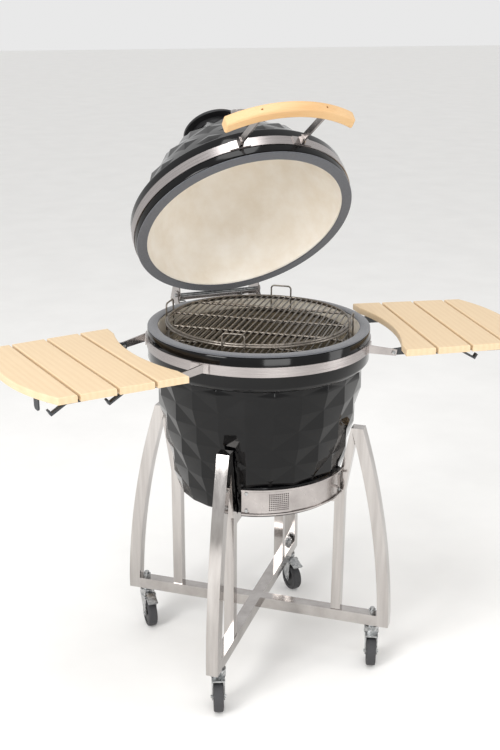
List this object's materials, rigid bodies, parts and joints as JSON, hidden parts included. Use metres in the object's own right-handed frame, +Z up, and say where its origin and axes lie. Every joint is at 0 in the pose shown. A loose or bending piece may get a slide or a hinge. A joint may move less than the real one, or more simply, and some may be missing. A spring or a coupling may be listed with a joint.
{
  "type": "kamado charcoal grill on a rolling stand",
  "caption": "Egg-shaped faceted ceramic charcoal grill with a sprung hinged lid, a sliding draft door, fold-down slatted side tables and a rolling stand of bowed legs.",
  "frame": {"origin": "on the floor below the middle of the bowl", "axes": "+Z up, -Y the front with the lid handle and draft door, +X to the right seen from the front"},
  "size_m": [1.2924, 0.6713, 1.4219],
  "materials": {
    "glaze": "glossy black glaze",
    "ceramic": "matt cream ceramic",
    "felt": "grey felt",
    "stainless": "brushed",
    "polished": "polished tube",
    "wood": "pale oiled wood",
    "iron": "dark cast",
    "wire": "bright wire",
    "dark_steel": "dark coated steel",
    "zinc": "zinc plated",
    "tyre": "grey-black tread",
    "hub": "dark moulded"
  },
  "bodies": {
    "grill": {"base_cross": "polished", "bowl_rails": "polished", "leg_front_left": "polished", "leg_front_right": "polished", "leg_rear_right": "polished", "leg_rear_left": "polished", "caster_stems": "zinc", "caster_nuts": "zinc", "base_bowl": "glaze", "base_gasket": "felt", "base_band": "stainless", "firebox": "ceramic", "fire_ring": "ceramic", "charcoal_grate": "iron", "rack_frame": "wire", "upper_grate": "wire", "lower_grate": "wire", "draft_frame": "stainless", "draft_screws": "stainless", "hinge_base_bracket": "stainless", "hinge_pin": "zinc", "hinge_springs": "zinc", "hinge_base_bolts": "zinc", "table_brackets": "stainless", "table_pivot_pins": "zinc"},
    "lid": {"lid_dome": "glaze", "lid_gasket": "felt", "lid_band": "stainless", "lid_handle": "wood", "handle_posts": "stainless", "handle_clevises": "stainless", "handle_screws": "dark_steel", "thermometer": "stainless", "vent_collar": "iron", "hinge_lid_bracket": "stainless", "hinge_lid_bolts": "zinc"},
    "cap": {"vent_cap": "iron"},
    "cap_disc": {"vent_disc": "iron"},
    "left_table": {"left_table_slats": "wood", "left_table_rails": "dark_steel", "left_table_hooks": "dark_steel"},
    "right_table": {"right_table_slats": "wood", "right_table_rails": "dark_steel", "right_table_hooks": "dark_steel"},
    "door": {"draft_door": "stainless"},
    "screen": {"draft_screen": "stainless"},
    "caster_front_left": {"fork_front_left": "zinc"},
    "wheel_front_left": {"hub_front_left": "hub", "tyre_front_left": "tyre"},
    "caster_front_right": {"fork_front_right": "zinc"},
    "wheel_front_right": {"hub_front_right": "hub", "tyre_front_right": "tyre"},
    "caster_rear_right": {"fork_rear_right": "zinc"},
    "wheel_rear_right": {"hub_rear_right": "hub", "tyre_rear_right": "tyre"},
    "brake_rear_right": {"pedal_rear_right": "zinc"},
    "caster_rear_left": {"fork_rear_left": "zinc"},
    "wheel_rear_left": {"hub_rear_left": "hub", "tyre_rear_left": "tyre"},
    "brake_rear_left": {"pedal_rear_left": "zinc"}
  },
  "joints": [
    {"name": "lid_hinge", "type": "hinge", "parent": "grill", "child": "lid", "pos_m": [0, 0.286, 0.896], "axis": [1, 0, 0], "range_deg": [0, 48], "deforming": ["hinge_springs"]},
    {"name": "vent_cap_swing", "type": "hinge", "parent": "lid", "child": "cap", "pos_m": [-0.04525, 0.34191, 1.27029], "axis": [0, 0.7431, 0.6691], "range_deg": [0, 70]},
    {"name": "vent_disc_turn", "type": "hinge", "parent": "cap", "child": "cap_disc", "pos_m": [0, 0.31906, 1.31062], "axis": [0, 0.7431, 0.6691], "range_deg": [0, 36]},
    {"name": "left_table_fold", "type": "hinge", "parent": "grill", "child": "left_table", "pos_m": [-0.29301, -0.04851, 0.8386], "axis": [0.1633, -0.9866, 0], "range_deg": [0, 90]},
    {"name": "right_table_fold", "type": "hinge", "parent": "grill", "child": "right_table", "pos_m": [0.29301, -0.04851, 0.8386], "axis": [0.1633, 0.9866, 0], "range_deg": [0, 90]},
    {"name": "draft_door_slide", "type": "hinge", "parent": "grill", "child": "door", "pos_m": [0, 0, 0.5105], "axis": [0, 0, 1], "range_deg": [-22, 2]},
    {"name": "draft_screen_slide", "type": "hinge", "parent": "grill", "child": "screen", "pos_m": [0, 0, 0.5105], "axis": [0, 0, 1], "range_deg": [0, 12]},
    {"name": "swivel_front_left", "type": "hinge", "parent": "grill", "child": "caster_front_left", "pos_m": [-0.19951, -0.24376, 0.1], "axis": [0, 0, 1], "continuous": true},
    {"name": "roll_front_left", "type": "hinge", "parent": "caster_front_left", "child": "wheel_front_left", "pos_m": [-0.20693, -0.26659, 0.0375], "axis": [0.9511, -0.309, 0], "continuous": true},
    {"name": "swivel_front_right", "type": "hinge", "parent": "grill", "child": "caster_front_right", "pos_m": [0.24376, -0.19951, 0.1], "axis": [0, 0, 1], "continuous": true},
    {"name": "roll_front_right", "type": "hinge", "parent": "caster_front_right", "child": "wheel_front_right", "pos_m": [0.23324, -0.22109, 0.0375], "axis": [0.8988, -0.4384, 0], "continuous": true},
    {"name": "swivel_rear_right", "type": "hinge", "parent": "grill", "child": "caster_rear_right", "pos_m": [0.19951, 0.24376, 0.1], "axis": [0, 0, 1], "continuous": true},
    {"name": "roll_rear_right", "type": "hinge", "parent": "caster_rear_right", "child": "wheel_rear_right", "pos_m": [0.20202, 0.21989, 0.0375], "axis": [0.9945, 0.1045, 0], "continuous": true},
    {"name": "brake_rear_right", "type": "hinge", "parent": "caster_rear_right", "child": "brake_rear_right", "pos_m": [0.20223, 0.2179, 0.091], "axis": [0.9945, 0.1045, 0], "range_deg": [0, 8]},
    {"name": "swivel_rear_left", "type": "hinge", "parent": "grill", "child": "caster_rear_left", "pos_m": [-0.24376, 0.19951, 0.1], "axis": [0, 0, 1], "continuous": true},
    {"name": "roll_rear_left", "type": "hinge", "parent": "caster_rear_left", "child": "wheel_rear_left", "pos_m": [-0.2446, 0.17553, 0.0375], "axis": [0.9994, -0.0349, 0], "continuous": true},
    {"name": "brake_rear_left", "type": "hinge", "parent": "caster_rear_left", "child": "brake_rear_left", "pos_m": [-0.24467, 0.17353, 0.091], "axis": [0.9994, -0.0349, 0], "range_deg": [0, 8]}
  ]
}
